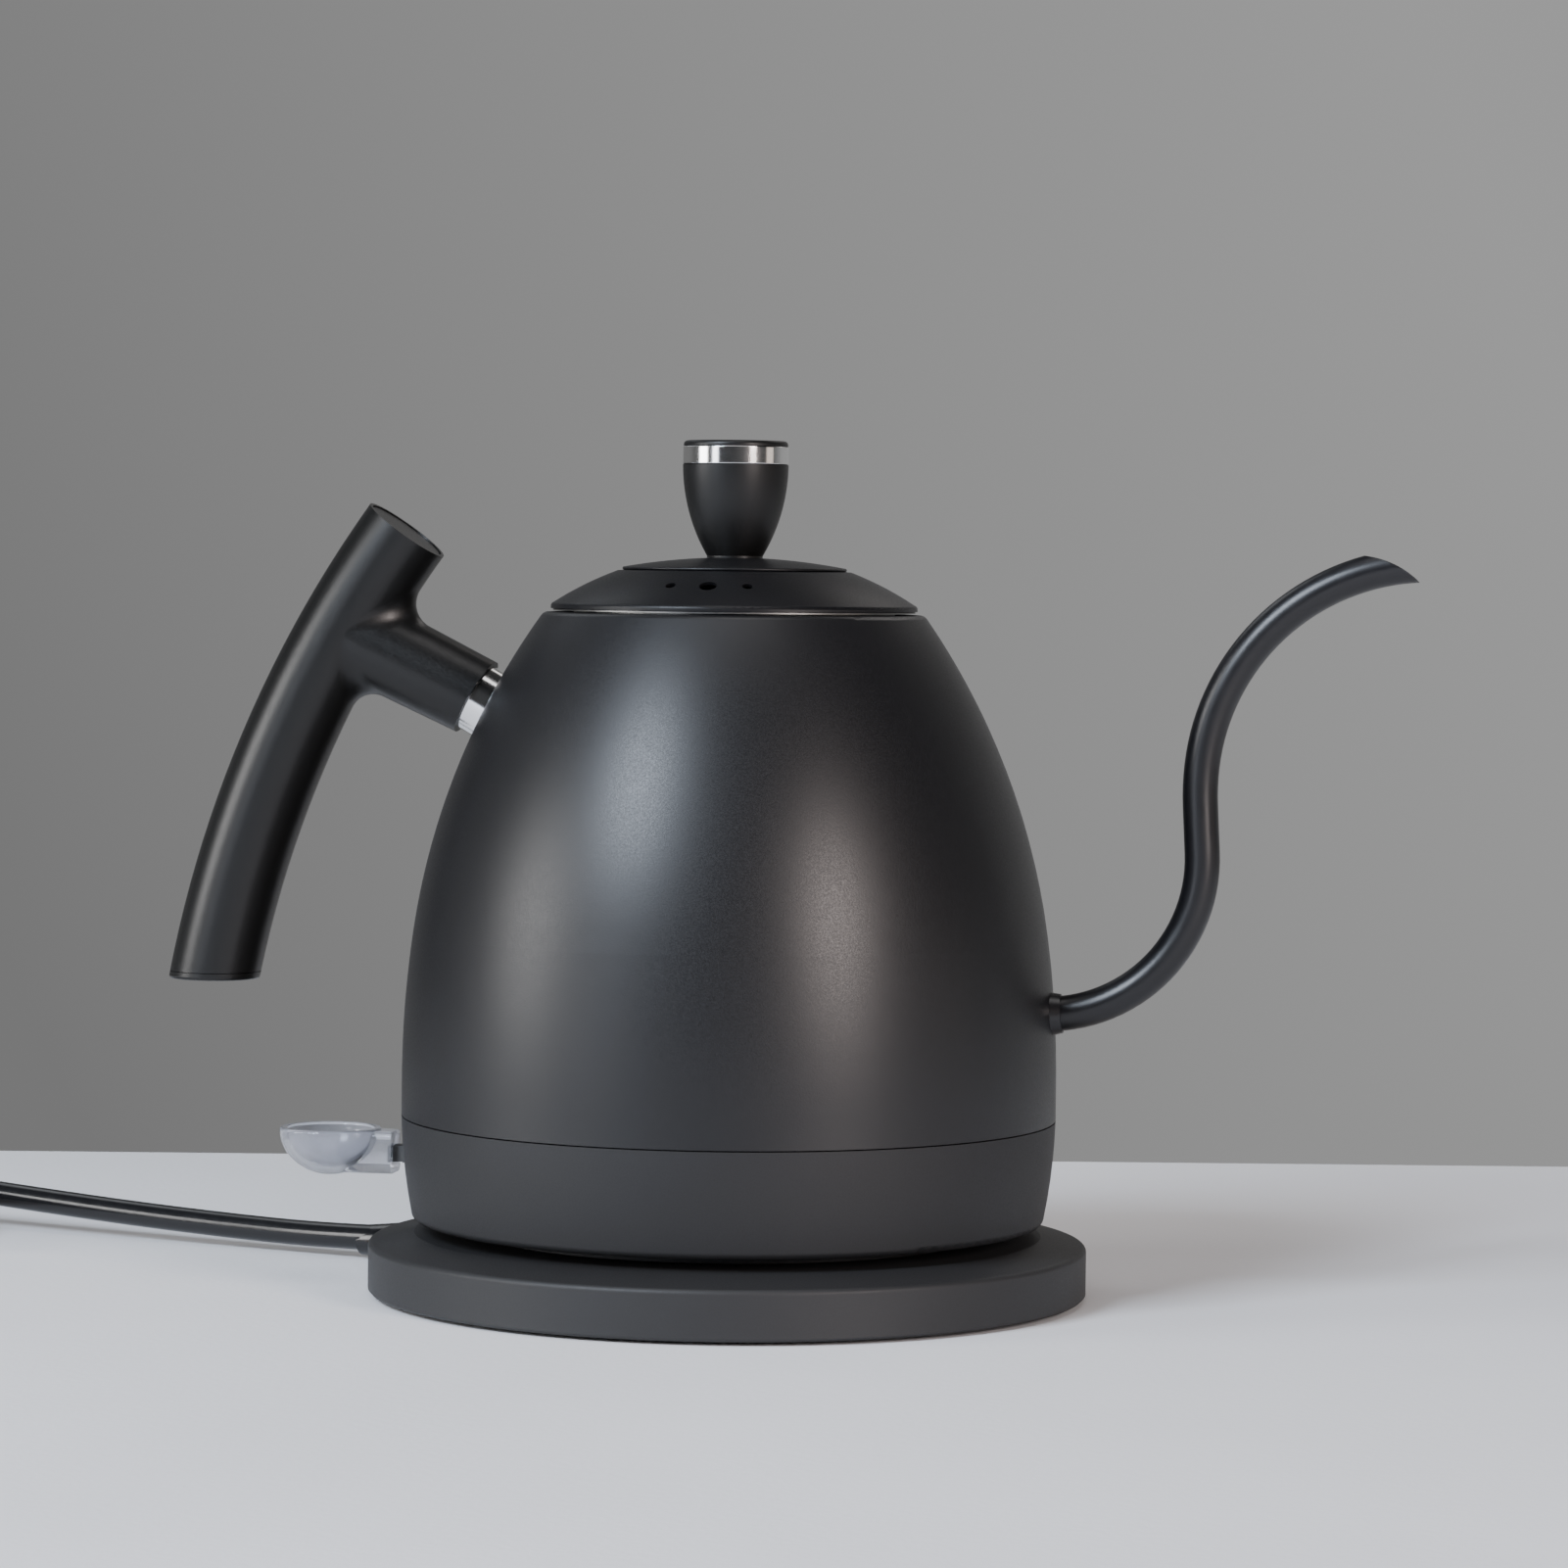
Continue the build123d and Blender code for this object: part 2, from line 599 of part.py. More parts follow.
def scoop_outline(inset):
    """Half of the scoop's side view: a bowl of two arcs under a short upright rim."""
    with BuildSketch(Plane.XZ) as outline:
        with BuildLine():
            bottom = JernArc((scoop_x, scoop_bottom + inset), (1, 0), 13.0 - inset, 38)
            flank = JernArc(bottom @ 1, bottom % 1, 10.0 - inset, 52)
            rim = Line(flank @ 1, ((flank @ 1).X, scoop_top))
            top = Line(rim @ 1, (scoop_x, scoop_top))
            Line(top @ 1, bottom @ 0)
        make_face()
    return outline.sketch


scoop_axis = Axis((scoop_x, 0, 0), (0, 0, 1))
with BuildPart() as switch_lever:
    box((-90.0, -4.8, stem_bottom), (stem_end, 4.8, stem_top))
    fillet(switch_lever.edges().filter_by(Axis.X), 1.6)
    revolve(scoop_outline(0.0), axis=scoop_axis)
    revolve(scoop_outline(scoop_wall), axis=scoop_axis, mode=Mode.SUBTRACT)
    pocket_low = (rocker_end - 0.05, -2.6, rocker_low - 0.1)
    pocket_high = (stem_end + 1, 2.6, rocker_high + 0.1)
    box(pocket_low, pocket_high, mode=Mode.SUBTRACT)
    fillet(switch_lever.faces().sort_by(Axis.Z)[-1].edges(), 0.6)
switch_lever.part.label = "switch_lever"
export_step(switch_lever.part, "parts/switch_lever.step")

with BuildPart() as switch_rocker:
    with BuildSketch(Plane.XZ.offset(-4)):
        with Locations((pivot_x, pivot_z)):
            Circle(4.6)
        with BuildLine():
            Polyline(
                (pivot_x, pivot_z + 4.6),
                (pivot_x - 6, rocker_high),
                (rocker_end, rocker_high),
                (rocker_end, rocker_low),
                (pivot_x - 9, rocker_low),
                (pivot_x - 2, pivot_z - 4.1),
                (pivot_x, pivot_z + 4.6),
            )
        make_face()
        with Locations((pivot_x, pivot_z)):
            Circle(pivot_pin_radius + 0.06, mode=Mode.SUBTRACT)
    extrude(amount=8)
    for side in (-1, 1):
        box((rocker_end - 1, side * 3.75 - 1.25, 26), (-76.0, side * 3.75 + 1.25, 34), mode=Mode.SUBTRACT)
switch_rocker.part.label = "switch_rocker"
export_step(switch_rocker.part, "parts/switch_rocker.step")

# ==== spout ============================================================================
with BuildPart() as spout_tube:
    with BuildLine(Plane.XZ) as bend:
        root = spout_plane.origin
        stub = Line(root - spout_direction * 3.0, root)
        rise = JernArc(stub @ 1, spout_direction, spout_elbow, spout_elbow_turn)
        mast = Line(rise @ 1, (rise @ 1) + (rise % 1) * spout_straight)
        neck = JernArc(mast @ 1, mast % 1, spout_lean, spout_lean_turn)
        JernArc(neck @ 1, neck % 1, spout_crook, spout_crook_turn)
    with BuildSketch(Plane(origin=bend.line @ 0, z_dir=bend.line % 0)):
        Circle(spout_radius)
        Circle(spout_bore, mode=Mode.SUBTRACT)
    sweep(path=bend.line)
    with BuildSketch(Plane.XZ.offset(-10)):
        with BuildLine():
            lip = ThreePointArc(mouth_top, mouth_middle, mouth_tip)
            Polyline(lip @ 1, (170, 160), (170, 180), (mouth_top[0], 180), lip @ 0)
        make_face()
    extrude(amount=20, mode=Mode.SUBTRACT)
spout_tube.part.label = "spout_tube"
export_step(spout_tube.part, "parts/spout_tube.step")

with BuildPart() as spout_collar:
    with BuildSketch(spout_plane.offset(-1.0)):
        Circle(5.0)
    with BuildSketch(spout_plane.offset(1.7)):
        Circle(4.45)
    loft()
    with BuildSketch(spout_plane):
        Circle(spout_radius + 0.03)
    extrude(amount=6, both=True, mode=Mode.SUBTRACT)
    revolve(vessel_outline(0.0), axis=Axis.Z, mode=Mode.SUBTRACT)
spout_collar.part.label = "spout_collar"
export_step(spout_collar.part, "parts/spout_collar.step")

# ==== handle ===========================================================================
def handle_bar(radius):
    """The curved bar from below its lower cap to its upper end."""
    with BuildLine(Plane.XZ) as line:
        bar = ThreePointArc(grip_bottom, grip_middle, grip_top)
        Line(grip_bottom, (grip_bottom[0] - (bar % 0).X * 4, grip_bottom[1] - (bar % 0).Z * 4))
    path = line.wire()
    low = path @ 0 if (path @ 0).Z < (path @ 1).Z else path @ 1
    heading = path % 0 if (path @ 0).Z < (path @ 1).Z else (path % 1) * -1
    with BuildSketch(Plane(origin=low, z_dir=heading)) as section:
        Circle(radius)
    return section.sketch, path


cap_thickness = 1.8
core_radius = 6.0
top_recess, top_recess_radius = 3.6, 9.6
top_cap_sink = 0.3
insert_radius = 4.0
insert_length = 16.0
grip_floor = Plane.XY.offset(grip_bottom[1])
cap_line = Plane.XY.offset(grip_bottom[1] + cap_thickness)

with BuildPart() as handle_grip:
    bar_section, bar_path = handle_bar(grip_radius)
    sweep(bar_section, path=bar_path)
    split(bisect_by=cap_line, keep=Keep.TOP)
    root_direction = Vector(cos(radians(arm_root_slope)), 0, -sin(radians(arm_root_slope)))
    with BuildSketch(Plane(origin=(arm_start[0], 0, arm_start[1]), z_dir=root_direction)):
        Circle(arm_root_radius)
    with BuildSketch(arm_axis_plane):
        Circle(arm_radius)
    loft()
    middle = Vector(arm_start[0], 0, arm_start[1])
    near_arm = [e for e in handle_grip.edges() if (e.center() - middle).length < 16]
    junction = [e for e in near_arm if e.geom_type == GeomType.BSPLINE]
    fillet(junction, arm_round)
    core_section, core_path = handle_bar(core_radius)
    sweep(core_section, path=core_path, mode=Mode.SUBTRACT)
    top_plane = Plane(origin=bar_path @ 1, z_dir=bar_path % 1)
    with BuildSketch(top_plane):
        Circle(top_recess_radius)
    extrude(amount=-top_recess, mode=Mode.SUBTRACT)
    with BuildSketch(arm_axis_plane):
        Circle(insert_radius)
    extrude(amount=-insert_length, mode=Mode.SUBTRACT)
handle_grip.part.label = "handle_grip"
export_step(handle_grip.part, "parts/handle_grip.step")

with BuildPart() as handle_core:
    core_section, core_path = handle_bar(core_radius - 0.05)
    sweep(core_section, path=core_path)
    split(bisect_by=cap_line.offset(0.1), keep=Keep.TOP)
    with BuildSketch(top_plane.offset(1)):
        Circle(core_radius + 1)
    extrude(amount=-top_recess - 1.2, mode=Mode.SUBTRACT)
    with BuildSketch(arm_axis_plane):
        Circle(insert_radius)
    extrude(amount=-insert_length - 6, mode=Mode.SUBTRACT)
handle_core.part.label = "handle_core"
export_step(handle_core.part, "parts/handle_core.step")

with BuildPart() as handle_cap_lower:
    cap_section, cap_path = handle_bar(grip_radius)
    sweep(cap_section, path=cap_path)
    split(bisect_by=cap_line.offset(-0.15), keep=Keep.BOTTOM)
    split(bisect_by=grip_floor, keep=Keep.TOP)
    fillet(handle_cap_lower.edges().group_by(Axis.Z)[0], 0.7)
handle_cap_lower.part.label = "handle_cap_lower"
export_step(handle_cap_lower.part, "parts/handle_cap_lower.step")

with BuildPart() as handle_cap_upper:
    with BuildSketch(top_plane.offset(-top_cap_sink)):
        Circle(top_recess_radius - 0.1)
    extrude(amount=-(top_recess - top_cap_sink - 0.05))
    fillet(handle_cap_upper.faces().sort_by(Axis.Z)[-1].edges(), 0.3)
handle_cap_upper.part.label = "handle_cap_upper"
export_step(handle_cap_upper.part, "parts/handle_cap_upper.step")

with BuildPart() as handle_ferrule:
    with BuildSketch(arm_axis_plane.offset(0.05)):
        Circle(ferrule_radius)
        Circle(3.2, mode=Mode.SUBTRACT)
    extrude(amount=12)
    revolve(vessel_outline(0.0), axis=Axis.Z, mode=Mode.SUBTRACT)
handle_ferrule.part.label = "handle_ferrule"
export_step(handle_ferrule.part, "parts/handle_ferrule.step")

with BuildPart() as handle_insert:
    with BuildSketch(arm_axis_plane):
        Circle(insert_radius - 0.05)
        Circle(handle_screw_radius, mode=Mode.SUBTRACT)
    extrude(amount=-insert_length + 0.1)
handle_insert.part.label = "handle_insert"
export_step(handle_insert.part, "parts/handle_insert.step")

wall_distance = 8.6
with BuildPart() as handle_screw:
    with BuildSketch(arm_axis_plane.offset(wall_distance)):
        Circle(handle_screw_radius - 0.02)
    extrude(amount=-wall_distance - insert_length + 3)
    with BuildSketch(arm_axis_plane.offset(wall_distance)):
        Circle(4.6)
    extrude(amount=2.6)
    fillet(handle_screw.faces().sort_by(Axis.X)[-1].edges(), 1.2)
    with BuildSketch(arm_axis_plane.offset(wall_distance + 2.6)):
        Rectangle(1.0, 10)
    extrude(amount=-1.2, mode=Mode.SUBTRACT)
handle_screw.part.label = "handle_screw"
export_step(handle_screw.part, "parts/handle_screw.step")

with BuildPart() as handle_washer:
    with BuildSketch(arm_axis_plane.offset(wall_distance - 0.05)):
        Circle(5.6)
        Circle(handle_screw_radius + 0.05, mode=Mode.SUBTRACT)
    extrude(amount=-4)
    revolve(vessel_outline(0.0), axis=Axis.Z, mode=Mode.INTERSECT)
    revolve(vessel_outline(body_wall), axis=Axis.Z, mode=Mode.INTERSECT)
handle_washer.part.label = "handle_washer"
export_step(handle_washer.part, "parts/handle_washer.step")

# ==== lid ==============================================================================
with BuildPart() as lid_shell:
    with BuildSketch(Plane.XZ):
        with BuildLine():
            hem = Line((lid_radius, lid_hem_height), (lid_radius, lid_hem_height + 0.6))
            roll = ThreePointArc(hem @ 1, (41.8, 158.4), (41.3, 158.75))
            dome = ThreePointArc(roll @ 1, (33.4, 163.25), (26.7, 166.15))
            ledge = Line(dome @ 1, (26.1, 166.15))
            seat = ThreePointArc(ledge @ 1, (17.5, 167.4), (2.6, 168.5))
            bore = Line(seat @ 1, (2.6, 168.5 - lid_wall))
            under = ThreePointArc(bore @ 1, (17.5, 167.4 - lid_wall), (26.1, 166.15 - lid_wall))
            inside = ThreePointArc(under @ 1, (33.1, 162.55), (40.8, 158.25))
            curl = Line(inside @ 1, (lid_radius - lid_wall, lid_hem_height + 0.4))
            edge = Line(curl @ 1, (lid_radius - lid_wall, lid_hem_height))
            Line(edge @ 1, hem @ 0)
        make_face()
    revolve(axis=Axis.Z)
    for offset, radius in ((-vent_spacing, 1.2), (0, 2.0), (vent_spacing, 1.2)):
        bearing = -90 + offset
        slope_direction = polar(sin(radians(30)), bearing, cos(radians(30)))
        with BuildSketch(Plane(origin=polar(vent_circle, bearing, vent_height), z_dir=slope_direction)):
            Circle(radius)
        extrude(amount=2, both=True, mode=Mode.SUBTRACT)
lid_shell.part.label = "lid_shell"
export_step(lid_shell.part, "parts/lid_shell.step")

with BuildPart() as lid_cap_disc:
    with BuildSketch(Plane.XZ):
        with BuildLine():
            under = ThreePointArc((2.4, 168.6), (17.5, 167.5), (25.5, 166.3))
            rim = ThreePointArc(under @ 1, (cap_disc_radius, 166.65), (25.4, 166.98))
            over = ThreePointArc(rim @ 1, (17.5, 168.2), (2.4, 169.3))
            Line(over @ 1, under @ 0)
        make_face()
    revolve(axis=Axis.Z)
lid_cap_disc.part.label = "lid_cap_disc"
export_step(lid_cap_disc.part, "parts/lid_cap_disc.step")

flange_height = rim_height + 0.35
with BuildPart() as lid_inner_plate:
    ring(plug_radius - 0.8, lid_radius - 0.5, flange_height, flange_height + 0.3)
    ring(plug_radius - 0.8, plug_radius, 150.2, flange_height + 0.3)
    ring(0, plug_radius, 149.6, 150.2)
    for bearing in (-110, -90, -70):
        hole = polar(25, bearing)
        ring(0, 2.2, 149, 151, at=(hole.X, hole.Y), mode=Mode.SUBTRACT)
lid_inner_plate.part.label = "lid_inner_plate"
export_step(lid_inner_plate.part, "parts/lid_inner_plate.step")

with BuildPart() as lid_seal:
    ring(plug_radius + 0.02, plug_radius + 0.5, 152.0, 154.6)
    ring(plug_radius + 0.02, plug_radius + 0.58, 152.4, 153.0)
    ring(plug_radius + 0.02, plug_radius + 0.58, 153.6, 154.2)
lid_seal.part.label = "lid_seal"
export_step(lid_seal.part, "parts/lid_seal.step")

# ---- knob ---------------------------------------------------------------------------
# the foot is hollowed to sit on the dome of the cap disc all round
foot_middle, foot_edge = knob_foot_height - 0.037, knob_foot_height - 0.148
with BuildPart() as knob_body:
    with BuildSketch(Plane.XZ):
        with BuildLine():
            foot = ThreePointArc((0, knob_foot_height), (3.2, foot_middle), (6.4, foot_edge))
            waist = Line(foot @ 1, (6.4, knob_foot_height + 0.3))
            flare = ThreePointArc(waist @ 1, (10.6, 179.6), (knob_radius, knob_ring_height))
            top = Line(flare @ 1, (10.3, knob_ring_height))
            spigot = Line(top @ 1, (10.3, knob_ring_height + 1.6))
            crown = Line(spigot @ 1, (0, knob_ring_height + 1.6))
            Line(crown @ 1, foot @ 0)
        make_face()
    revolve(axis=Axis.Z)
    ring(0, 2.0, foot_edge, knob_foot_height + 13, mode=Mode.SUBTRACT)
knob_body.part.label = "knob_body"
export_step(knob_body.part, "parts/knob_body.step")

with BuildPart() as knob_ring:
    ring(10.35, knob_radius - 0.05, knob_ring_height + 0.05, knob_cap_height - 0.05)
    fillet(knob_ring.edges().filter_by(GeomType.CIRCLE).sort_by(SortBy.RADIUS)[-2:], 0.25)
knob_ring.part.label = "knob_ring"
export_step(knob_ring.part, "parts/knob_ring.step")

with BuildPart() as knob_cap:
    ring(0, 10.2, knob_ring_height + 1.8, knob_cap_height)
    ring(0, 11.95, knob_cap_height, knob_top)
    fillet(knob_cap.edges().group_by(Axis.Z)[-1], 0.9)
knob_cap.part.label = "knob_cap"
export_step(knob_cap.part, "parts/knob_cap.step")

with BuildPart() as knob_washer:
    ring(2.2, 5.0, 166.8, 167.5)
knob_washer.part.label = "knob_washer"
export_step(knob_washer.part, "parts/knob_washer.step")

with BuildPart() as knob_screw:
    ring(0, 3.6, 164.9, 166.75)
    ring(0, 1.95, 166.75, 181.5)
    fillet(knob_screw.edges().group_by(Axis.Z)[0], 0.8)
    box((-0.5, -4, 164.8), (0.5, 4, 165.7), mode=Mode.SUBTRACT)
knob_screw.part.label = "knob_screw"
export_step(knob_screw.part, "parts/knob_screw.step")
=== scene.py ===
import math
import bpy
from mathutils import Matrix, Vector


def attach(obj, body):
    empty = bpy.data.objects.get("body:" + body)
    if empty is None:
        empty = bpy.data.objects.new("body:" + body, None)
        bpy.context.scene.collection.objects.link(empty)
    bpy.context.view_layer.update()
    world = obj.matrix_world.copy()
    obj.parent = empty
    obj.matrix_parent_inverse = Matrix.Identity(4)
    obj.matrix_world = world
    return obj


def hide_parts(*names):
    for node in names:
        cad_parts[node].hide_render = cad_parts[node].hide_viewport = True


# Gooseneck kettle on its power base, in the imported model's own frame. Metres.
# +X towards the spout, +Z up, the table at z = 0.

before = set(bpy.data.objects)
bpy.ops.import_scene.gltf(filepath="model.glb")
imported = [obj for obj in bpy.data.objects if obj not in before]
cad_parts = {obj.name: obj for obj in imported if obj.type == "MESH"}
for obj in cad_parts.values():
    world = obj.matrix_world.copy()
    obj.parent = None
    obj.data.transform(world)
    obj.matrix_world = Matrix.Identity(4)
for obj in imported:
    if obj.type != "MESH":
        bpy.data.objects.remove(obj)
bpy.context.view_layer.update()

# ---- view, and the lead that runs out of it ----------------------------------------------
VIEW_AZIMUTH = math.radians(10.0)
VIEW_DISTANCE = 1.212
VIEW_HEIGHT = 0.170
VIEW_TURN = math.radians(0.56)
VIEW_PITCH = math.radians(-2.48)
VIEW_ROLL = math.radians(0.65)
LENS_MM = 121.4
SENSOR_MM = 36.0

BACK = Vector((math.sin(VIEW_AZIMUTH), -math.cos(VIEW_AZIMUTH), 0.0))
ACROSS = Vector((math.cos(VIEW_AZIMUTH), math.sin(VIEW_AZIMUTH), 0.0))
UP = Vector((0.0, 0.0, 1.0))


def make_camera():
    """A long lens at the photograph's viewing angle."""
    heading = VIEW_TURN - VIEW_AZIMUTH
    forward = Vector((
        math.sin(heading) * math.cos(VIEW_PITCH),
        math.cos(heading) * math.cos(VIEW_PITCH),
        math.sin(VIEW_PITCH),
    ))
    level = Vector((math.cos(heading), -math.sin(heading), 0.0))
    above = level.cross(forward)
    right = level * math.cos(VIEW_ROLL) + above * math.sin(VIEW_ROLL)
    top = above * math.cos(VIEW_ROLL) - level * math.sin(VIEW_ROLL)
    data = bpy.data.cameras.new("camera")
    data.lens = LENS_MM
    data.sensor_width = SENSOR_MM
    camera = bpy.data.objects.new("camera", data)
    turn = Matrix((right, top, -forward)).transposed().to_4x4()
    camera.matrix_world = Matrix.Translation(BACK * VIEW_DISTANCE + UP * VIEW_HEIGHT) @ turn
    bpy.context.scene.collection.objects.link(camera)
    bpy.context.scene.camera = camera


CORD_DIAMETER = 0.0062
CORD_ROUTE = [
    (-0.0556, 0.0225, 0.0073),
    (-0.0955, 0.0386, 0.0043),
    (-0.1471, 0.0553, 0.0055),
    (-0.1972, 0.0720, 0.0083),
    (-0.2145, 0.0773, 0.0098),
]
TAIL_ROUTE = [
    (-0.2736, 0.0314, 0.0039),
    (-0.2690, 0.0180, 0.0044),
    (-0.2642, 0.0038, 0.0074),
    (-0.2605, -0.0070, 0.0086),
]
COIL_CENTRE = (-0.2372, 0.0440)
COIL_OUTER, COIL_INNER = 0.0385, 0.0303
COIL_UPPER, COIL_LOWER = 0.0102, 0.0039
COIL_START = math.radians(73.1)
COIL_TURNS = 2.35
COIL_LAYER_TURNS = 1.0
COIL_STEPS = 24
PLUG_AXIS_POINT = (-0.2642, 0.0038, 0.0086)
PLUG_TUCK = 0.008


def coil_turns():
    """In along the upper layer, down at the inner turn, and out along the lower layer."""
    # the spline passes its control points at this share of their radius
    cut_in = (3 + math.cos(math.tau / COIL_STEPS)) / 4
    points = []
    count = round(COIL_TURNS * COIL_STEPS)
    for step in range(1, count):
        done = step / count * COIL_TURNS
        left = COIL_TURNS - done
        inward = min(done, left, COIL_LAYER_TURNS) / COIL_LAYER_TURNS
        drop = min(max((done - COIL_LAYER_TURNS) / (COIL_TURNS - 2 * COIL_LAYER_TURNS), 0.0), 1.0)
        radius = (COIL_OUTER + (COIL_INNER - COIL_OUTER) * inward) / cut_in
        height = COIL_UPPER + (COIL_LOWER - COIL_UPPER) * drop
        angle = COIL_START + math.tau * done
        points.append((
            COIL_CENTRE[0] + radius * math.cos(angle),
            COIL_CENTRE[1] + radius * math.sin(angle),
            height,
        ))
    return points


def make_cord():
    """The mains lead on one smooth spline: out of the base, round its coil and into the plug."""
    route = CORD_ROUTE + coil_turns() + TAIL_ROUTE
    last, before = Vector(TAIL_ROUTE[-1]), Vector(PLUG_AXIS_POINT)
    route.append(tuple(last + (last - before).normalized() * PLUG_TUCK))
    curve = bpy.data.curves.new("lead", "CURVE")
    curve.dimensions = "3D"
    spline = curve.splines.new("NURBS")
    spline.points.add(len(route) - 1)
    for point, place in zip(spline.points, route):
        point.co = (*place, 1.0)
        point.radius = CORD_DIAMETER / 2  # times the bevel depth of 1
    spline.order_u = 3
    spline.use_endpoint_u = True
    spline.resolution_u = 10
    curve.bevel_depth = 1.0
    curve.bevel_resolution = 6
    curve.use_fill_caps = True
    lead = bpy.data.objects.new("lead", curve)
    bpy.context.scene.collection.objects.link(lead)
    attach(lead, "base")
    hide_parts("power_cord", "cord_tail", "cord_coil")
    return lead


make_camera()
lead = make_cord()

# ---- materials ---------------------------------------------------------------------------


def new_material(name):
    """An empty node material with its surface shader."""
    material = bpy.data.materials.new(name)
    material.use_nodes = True
    tree = material.node_tree
    tree.nodes.clear()
    output = tree.nodes.new("ShaderNodeOutputMaterial")
    shader = tree.nodes.new("ShaderNodeBsdfPrincipled")
    tree.links.new(shader.outputs["BSDF"], output.inputs["Surface"])
    return material, tree, shader


def noise(tree, scale, detail=3.0, stretch=(1.0, 1.0, 1.0)):
    """Noise in the object's own metres, times scale, stretched along its axes."""
    place = tree.nodes.new("ShaderNodeTexCoord")
    mapping = tree.nodes.new("ShaderNodeMapping")
    mapping.inputs["Scale"].default_value = stretch
    texture = tree.nodes.new("ShaderNodeTexNoise")
    texture.inputs["Scale"].default_value = scale
    texture.inputs["Detail"].default_value = detail
    tree.links.new(place.outputs["Object"], mapping.inputs["Vector"])
    tree.links.new(mapping.outputs["Vector"], texture.inputs["Vector"])
    return texture.outputs["Fac"]


def spread(tree, value, low, high):
    """The middle of a noise's range, stretched to run from low to high."""
    node = tree.nodes.new("ShaderNodeMapRange")
    node.inputs["From Min"].default_value = 0.3
    node.inputs["From Max"].default_value = 0.7
    node.inputs["To Min"].default_value = low
    node.inputs["To Max"].default_value = high
    tree.links.new(value, node.inputs["Value"])
    return node.outputs["Result"]


def two_tone(tree, value, dark, light):
    """A colour between two, by a noise."""
    node = tree.nodes.new("ShaderNodeMix")
    node.data_type = "RGBA"
    node.inputs["A"].default_value = (*dark, 1.0)
    node.inputs["B"].default_value = (*light, 1.0)
    tree.links.new(spread(tree, value, 0.0, 1.0), node.inputs["Factor"])
    return node.outputs["Result"]


def bump(tree, shader, value, distance):
    """Fine relief, in metres."""
    node = tree.nodes.new("ShaderNodeBump")
    node.inputs["Strength"].default_value = 1.0
    node.inputs["Distance"].default_value = distance
    tree.links.new(value, node.inputs["Height"])
    tree.links.new(node.outputs["Normal"], shader.inputs["Normal"])


def coating(name, dark, light, rough, grain, relief, specular=0.5, patch=14.0):
    """Paint, plastic or rubber: broad uneven tone, fine grain in the relief and the gloss."""
    material, tree, shader = new_material(name)
    tree.links.new(two_tone(tree, noise(tree, patch), dark, light), shader.inputs["Base Color"])
    fine = noise(tree, grain, detail=2.0)
    tree.links.new(spread(tree, fine, rough[0], rough[1]), shader.inputs["Roughness"])
    shader.inputs["Specular IOR Level"].default_value = specular
    bump(tree, shader, fine, relief)
    return material


def metal(name, dark, light, rough, stretch=(1.0, 1.0, 1.0), grain=900.0, relief=0.000002):
    """Bare or plated metal, with marks drawn out along the axes with a small stretch."""
    material, tree, shader = new_material(name)
    shader.inputs["Metallic"].default_value = 1.0
    marks = noise(tree, grain, stretch=stretch)
    tree.links.new(two_tone(tree, noise(tree, 40.0), dark, light), shader.inputs["Base Color"])
    tree.links.new(spread(tree, marks, rough[0], rough[1]), shader.inputs["Roughness"])
    bump(tree, shader, marks, relief)
    return material


def clear_plastic(name, tint, cloud):
    """Clear moulded plastic with faint flow marks."""
    material, tree, shader = new_material(name)
    flow = noise(tree, 120.0)
    tree.links.new(two_tone(tree, flow, tint, cloud), shader.inputs["Base Color"])
    tree.links.new(spread(tree, flow, 0.08, 0.16), shader.inputs["Roughness"])
    shader.inputs["IOR"].default_value = 1.42
    shader.inputs["Transmission Weight"].default_value = 0.86
    bump(tree, shader, flow, 0.00002)
    return material


powder = coating(
    "powder_coat", (0.004, 0.004, 0.005), (0.006, 0.006, 0.007), (0.36, 0.46),
    grain=2600.0, relief=0.000012,
)
# painted shade: the body's powder coat made darker and less glossy for the lid, so the lid reads
# dimmer
powder_lid_painted_shade = coating(
    "powder_coat_lid_painted_shade", (0.003, 0.003, 0.004), (0.004, 0.004, 0.005), (0.36, 0.46),
    grain=2600.0, relief=0.000012, specular=0.32,
)
spout_coat = coating(
    "spout_coat", (0.004, 0.004, 0.005), (0.006, 0.006, 0.008), (0.31, 0.37),
    grain=260.0, relief=0.000004,
)
grip_plastic = coating(
    "grip_plastic", (0.003, 0.003, 0.003), (0.005, 0.005, 0.005), (0.31, 0.40),
    grain=2200.0, relief=0.000012, specular=0.4,
)
knob_plastic = coating(
    "knob_plastic", (0.003, 0.003, 0.003), (0.005, 0.005, 0.005), (0.36, 0.46),
    grain=2200.0, relief=0.000012, specular=0.38,
)
collar_plastic = coating(
    "collar_plastic", (0.006, 0.006, 0.007), (0.009, 0.009, 0.010), (0.54, 0.64),
    grain=3000.0, relief=0.000016,
)
base_plastic = coating(
    "base_plastic", (0.012, 0.012, 0.013), (0.016, 0.016, 0.017), (0.52, 0.62),
    grain=3000.0, relief=0.000016,
)
inner_plastic = coating(
    "inner_plastic", (0.05, 0.05, 0.05), (0.07, 0.07, 0.07), (0.45, 0.6),
    grain=1500.0, relief=0.00001,
)
rubber = coating(
    "black_rubber", (0.022, 0.022, 0.022), (0.03, 0.03, 0.03), (0.6, 0.75),
    grain=1500.0, relief=0.00002,
)
silicone = coating(
    "grey_silicone", (0.48, 0.48, 0.47), (0.58, 0.58, 0.57), (0.4, 0.5),
    grain=900.0, relief=0.00001,
)
lead_sheath = coating(
    "lead_sheath", (0.009, 0.009, 0.010), (0.012, 0.012, 0.013), (0.16, 0.24),
    grain=700.0, relief=0.000008,
)
live_colour = coating(
    "live_insulation", (0.22, 0.09, 0.04), (0.26, 0.11, 0.05), (0.3, 0.4),
    grain=900.0, relief=0.000005,
)
